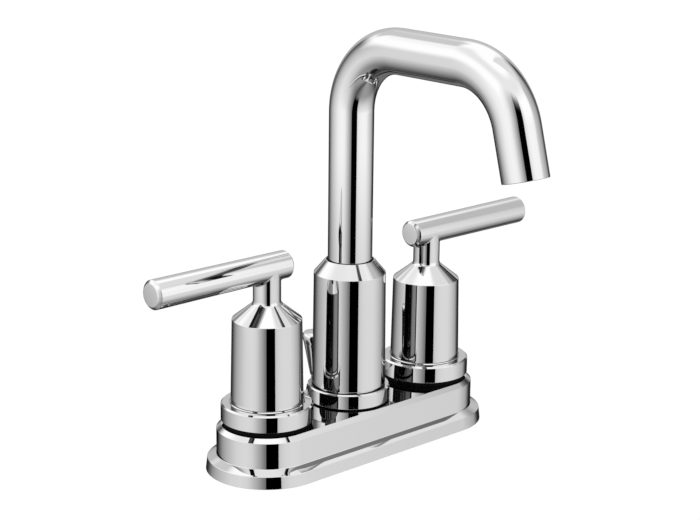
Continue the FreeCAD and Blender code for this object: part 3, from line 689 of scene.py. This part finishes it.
TARGET = Vector((0.03, 0.0, 88.75)) * MM
AZIMUTH = math.radians(-43.58)
ELEVATION = math.radians(15.5)
ROLL = math.radians(0.65)
DISTANCE = 865.15 * MM
IMAGE_WIDTH = 700
FOCAL_PIXELS = 1869.02
SENSOR = 36.0
CLIP = (0.01, 50.0)          # metres

away = Vector((math.sin(AZIMUTH), -math.cos(AZIMUTH), 0.0))
to_right = Vector((math.cos(AZIMUTH), math.sin(AZIMUTH), 0.0))
back = away * math.cos(ELEVATION) + Vector((0, 0, math.sin(ELEVATION)))
upwards = back.cross(to_right)
right = to_right * math.cos(ROLL) + upwards * math.sin(ROLL)
upwards = back.cross(right)
camera = bpy.data.objects.new("camera", bpy.data.cameras.new("camera"))
camera.data.sensor_width = SENSOR
camera.data.lens = FOCAL_PIXELS / IMAGE_WIDTH * SENSOR
camera.data.clip_start = CLIP[0]
camera.data.clip_end = CLIP[1]
turn = Matrix((right, upwards, back)).transposed().to_4x4()
camera.matrix_world = Matrix.Translation(TARGET + back * DISTANCE) @ turn
bpy.context.scene.collection.objects.link(camera)
bpy.context.scene.camera = camera
bpy.context.scene.view_settings.view_transform = "Standard"

# Studio: white to the eye, with the cards and dark gaps that polished metal shows. Angles are in
# degrees, round the object from the camera's side to the right, and up from level ("rise"). Two
# angles are a fade; four are where a card starts, is full, leaves and ends. Levels are
# brightness.

CEILING = 1.1
LOW_GAIN = 1.15
# Levels near the ground, by the angle round
LOW_LEVELS = [
    (-180, 0.02), (-146, 0.035), (-134, 0.15), (-126, 0.26), (-119, 0.37), (-109, 0.48),
    (-96, 0.6), (-69, 0.82), (-47, 0.87), (-33, 0.81), (-26, 0.69), (-20, 0.57), (-13, 0.45),
    (-7, 0.32), (-3, 0.24), (0, 0.2), (27, 0.6), (33, 0.73), (37, 0.78), (46, 0.84), (60, 0.864),
    (82, 0.85), (90, 0.79), (99, 0.71), (104, 0.665), (109, 0.6), (122, 0.47), (130, 0.27),
    (137, 0.1), (144, 0.02), (180, 0.02)]
# Rise over which these give way to the ceiling: at the left in front, then ahead, at the rear
# left and at the right, each with the angles round where it holds
LOW_TOP = (8.0, 27.0)
AHEAD_TOP = (20.0, 64.0)
AHEAD_ROUND = (-50.0, -25.0, 30.0, 48.0)
LEFT_TOP = (16.0, 31.0)
LEFT_ROUND = (-110.0, -128.0)
RIGHT_TOP = (30.0, 48.0)
RIGHT_ROUND = (85.0, 105.0)
# Black card ahead, which draws the dark stripe down every upright piece
CARD_ROUND = (0.3, 0.6, 28.4, 28.8)
CARD_FOOT = (-50.0, -38.0)
CARD_TOP = (27.0, 54.0)
# Darker towards straight down
NADIR = (-52.0, -24.0)
NADIR_LEVEL = 0.45
# Weaker light from the right, above the ground
DIM_ROUND = (80.0, 96.0, 140.0, 160.0)
DIM_RISE = (-16.0, -5.0)
DIM_LEVEL = 0.72
# Grey panel at the right, whose foot and top climb with the angle round
PANEL_ROUND = (91.0, 97.0, 134.0, 147.0)
PANEL_FROM = 96.0
PANEL_LOW = (17.0, 27.0)
PANEL_LOW_CLIMB = 0.5        # degrees up for each degree round past PANEL_FROM
PANEL_HIGH = (38.0, 43.0)
PANEL_HIGH_CLIMB = 0.22
PANEL_LEVEL = 0.54
# Pale card high up in front
FRONT_CARD_ROUND = (-150.0, -115.0, 75.0, 105.0)
FRONT_CARD_RISE = (36.0, 54.0, 60.0, 76.0)
FRONT_CARD_LEVEL = 0.88
# The far side, by its rise
REAR_FROM = (141.0, 157.0)
REAR_LEVELS = [
    (-90, 0.1), (-53, 0.19), (-30, 0.18), (-23, 0.03), (-11, 0.03), (2, 0.4), (10, 0.48),
    (31, 0.54), (39, 0.84), (44, 1.0), (90, 1.0)]
REAR_PANEL_ROUND = (-175.0, -160.0, -138.0, -127.0)
REAR_PANEL_RISE = (26.0, 36.0, 47.0, 56.0)
REAR_PANEL_LEVEL = 0.64
# Dark seam low down where the front meets the far side
SEAM_ROUND = (138.0, 144.0, 152.0, 162.0)
SEAM_RISE = (-46.0, -41.0)
SEAM_LEVEL = 0.04
# Share of light left at each polished surface after the first, low down and high up, and the
# least of that share at the sides and behind
INNER_RISE = (0.0, 18.0)
INNER_SHARE = (0.33, 0.85)
INNER_ROUND = (88.0, 124.0)
INNER_LEAST = (0.05, 0.3)
DEEP_SHARE = 0.15            # from the third surface on


def studio_front(graph, round_angle, rise):
    """Level of the near side: low levels, ceiling, black card, and the shades laid over them."""
    level = graph.times(graph.steps(round_angle, LOW_LEVELS, -180, 180), LOW_GAIN)
    places = ((AHEAD_TOP, graph.between(round_angle, *AHEAD_ROUND)),
              (LEFT_TOP, graph.fade(round_angle, *LEFT_ROUND)),
              (RIGHT_TOP, graph.fade(round_angle, *RIGHT_ROUND)))
    low, high = LOW_TOP
    for top, share in places:
        low = graph.mix(share, low, top[0])
        high = graph.mix(share, high, top[1])
    front = graph.mix(graph.fade(rise, low, high), level, CEILING)
    card = graph.times(graph.between(round_angle, *CARD_ROUND),
                       graph.fade(rise, *CARD_TOP, 1.0, 0.0), graph.fade(rise, *CARD_FOOT))
    front = graph.mix(card, front, 0.0)
    front = graph.times(front, graph.fade(rise, *NADIR, NADIR_LEVEL, 1.0))
    dim = graph.times(graph.between(round_angle, *DIM_ROUND), graph.fade(rise, *DIM_RISE))
    front = graph.times(front, graph.mix(dim, 1.0, DIM_LEVEL))
    past = graph.math("MAXIMUM", graph.minus(round_angle, PANEL_FROM), 0.0)
    over_low = graph.minus(rise, graph.times(past, PANEL_LOW_CLIMB))
    over_high = graph.minus(rise, graph.times(past, PANEL_HIGH_CLIMB))
    panel = graph.times(graph.fade(over_low, *PANEL_LOW),
                        graph.fade(over_high, *PANEL_HIGH, 1.0, 0.0),
                        graph.between(round_angle, *PANEL_ROUND))
    front = graph.mix(panel, front, PANEL_LEVEL)
    ahead = graph.times(graph.between(round_angle, *FRONT_CARD_ROUND),
                        graph.between(rise, *FRONT_CARD_RISE))
    return graph.mix(ahead, front, FRONT_CARD_LEVEL)


def studio_rear(graph, front, round_angle, aside, rise):
    """Level all round: the near side, with the far side, its panel and the seam laid over it."""
    rear = graph.times(graph.steps(rise, REAR_LEVELS, -90, 90), CEILING)
    seen = graph.mix(graph.fade(aside, *REAR_FROM), front, rear)
    panel = graph.times(graph.between(round_angle, *REAR_PANEL_ROUND),
                        graph.between(rise, *REAR_PANEL_RISE))
    seen = graph.mix(panel, seen, REAR_PANEL_LEVEL)
    seam = graph.times(graph.between(aside, *SEAM_ROUND), graph.fade(rise, *SEAM_RISE, 1.0, 0.0))
    return graph.mix(seam, seen, SEAM_LEVEL)


def studio_world():
    """White to the eye and to matt pieces; the studio shows only in polished metal."""
    world = bpy.data.worlds.new("studio")
    world.use_nodes = True
    bpy.context.scene.world = world
    graph = Graph(world.node_tree)
    place = graph.node("ShaderNodeTexCoord").outputs["Generated"]
    round_angle = graph.degrees("ARCTAN2", graph.dot(place, to_right), graph.dot(place, away))
    rise = graph.degrees("ARCSINE", graph.dot(place, (0, 0, 1)))
    aside = graph.math("ABSOLUTE", round_angle)
    front = studio_front(graph, round_angle, rise)
    seen = studio_rear(graph, front, round_angle, aside, rise)
    light = graph.node("ShaderNodeLightPath")
    further = graph.math("MAXIMUM", graph.minus(light.outputs["Glossy Depth"], 1.0), 0.0)
    upper = graph.fade(rise, *INNER_RISE)
    least = graph.mix(upper, *INNER_LEAST)
    inner = graph.times(graph.mix(upper, *INNER_SHARE), graph.fade(aside, *INNER_ROUND, 1.0, least))
    seen = graph.times(seen, graph.math("POWER", inner, further))
    seen = graph.times(seen, graph.fade(further, 1.0, 2.0, 1.0, DEEP_SHARE))
    plain = graph.minus(1.0, light.outputs["Is Glossy Ray"])
    sky = graph.node("ShaderNodeBackground")
    sky.inputs["Color"].default_value = (1, 1, 1, 1)
    graph.link(graph.mix(plain, seen, 1.0), sky.inputs["Strength"])
    out = graph.node("ShaderNodeOutputWorld")
    graph.link(sky.outputs["Background"], out.inputs["Surface"])


# Ground

FLOOR_RADIUS = 8.0           # metres
FLOOR_SEGMENTS = 64
FLOOR_TONE = 0.92
GLOW = 1.03
GLOW_SHARE = 0.9             # the rest of the paper takes the faint shadow
# Painted shade in reflections of the ground: darker close to the object, and a dark spot behind the
# knob
NEAR_REACH = (0.25, 0.7)     # metres from the middle over which reflections grow lighter
NEAR_LEVEL = 0.76
SHADE_X = -36.0              # dark spot behind the knob, as seen in the knob's cone
SHADE_Y = 56.0
SHADE_R = (21.0, 39.0)
SHADE_LEVEL = 0.1


def floor():
    """White ground that keeps a faint shadow, and paints shade into low reflections close to the
    object and into a dark spot behind the knob.
    """
    bm = bmesh.new()
    bmesh.ops.create_circle(bm, cap_ends=True, radius=FLOOR_RADIUS, segments=FLOOR_SEGMENTS)
    mesh = bpy.data.meshes.new("floor")
    bm.to_mesh(mesh)
    bm.free()
    ground = bpy.data.objects.new("floor", mesh)
    bpy.context.scene.collection.objects.link(ground)
    material = bpy.data.materials.new("white_ground")
    material.use_nodes = True
    graph = Graph(material.node_tree)
    place = graph.node("ShaderNodeNewGeometry").outputs["Position"]
    reach_out = graph.math("SQRT", graph.dot(place, place))
    # Painted shade for reflections: the ground darkens close to the object and in the spot behind
    # the knob
    near = graph.fade(reach_out, *NEAR_REACH, NEAR_LEVEL, 1.0)
    apart = graph.node("ShaderNodeVectorMath", operation="DISTANCE")
    graph.link(place, apart.inputs[0])
    apart.inputs[1].default_value = (SHADE_X * MM, SHADE_Y * MM, 0)
    spot = graph.fade(apart.outputs["Value"], SHADE_R[0] * MM, SHADE_R[1] * MM, SHADE_LEVEL, 1.0)
    near = graph.times(near, spot)
    veil = graph.node("ShaderNodeBsdfTransparent")
    graph.link(near, veil.inputs["Color"])
    plain = graph.node("ShaderNodeBsdfDiffuse")
    plain.inputs["Color"].default_value = (FLOOR_TONE, FLOOR_TONE, FLOOR_TONE, 1)
    glow = graph.node("ShaderNodeEmission")
    glow.inputs["Strength"].default_value = GLOW
    paper = graph.node("ShaderNodeMixShader")
    paper.inputs[0].default_value = GLOW_SHARE
    graph.link(plain.outputs[0], paper.inputs[1])
    graph.link(glow.outputs[0], paper.inputs[2])
    light = graph.node("ShaderNodeLightPath")
    to_eye = graph.node("ShaderNodeMixShader")
    graph.link(light.outputs["Is Camera Ray"], to_eye.inputs[0])
    graph.link(plain.outputs[0], to_eye.inputs[1])
    graph.link(paper.outputs[0], to_eye.inputs[2])
    mirrored = graph.node("ShaderNodeMixShader")
    graph.link(light.outputs["Is Glossy Ray"], mirrored.inputs[0])
    graph.link(to_eye.outputs[0], mirrored.inputs[1])
    graph.link(veil.outputs[0], mirrored.inputs[2])
    out = graph.node("ShaderNodeOutputMaterial")
    graph.link(mirrored.outputs[0], out.inputs["Surface"])
    mesh.materials.append(material)


studio_world()
floor()
